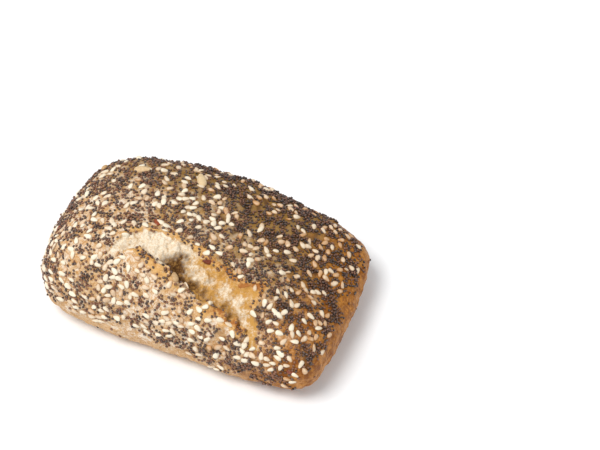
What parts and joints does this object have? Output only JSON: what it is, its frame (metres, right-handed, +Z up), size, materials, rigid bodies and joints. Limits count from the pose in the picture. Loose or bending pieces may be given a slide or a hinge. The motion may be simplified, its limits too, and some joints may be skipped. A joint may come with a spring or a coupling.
{
  "type": "bread roll",
  "caption": "Rectangular bread roll with a domed crust that burst open on top, baked with poppy and sesame seeds and flat underneath.",
  "frame": {"origin": "on the flat base, under the centre of the roll's box", "axes": "+X along the roll from its taller left end to its lower right end, +Y from the split's side to the back, +Z up"},
  "size_m": [0.113, 0.0746, 0.0402],
  "materials": {
    "crust": "matte",
    "poppy_seed": "satin",
    "sesame_seed": "satin",
    "linseed": "satin",
    "sunflower_kernel": "matte"
  },
  "bodies": {
    "root": {"bread_roll": "crust"}
  },
  "joints": []
}
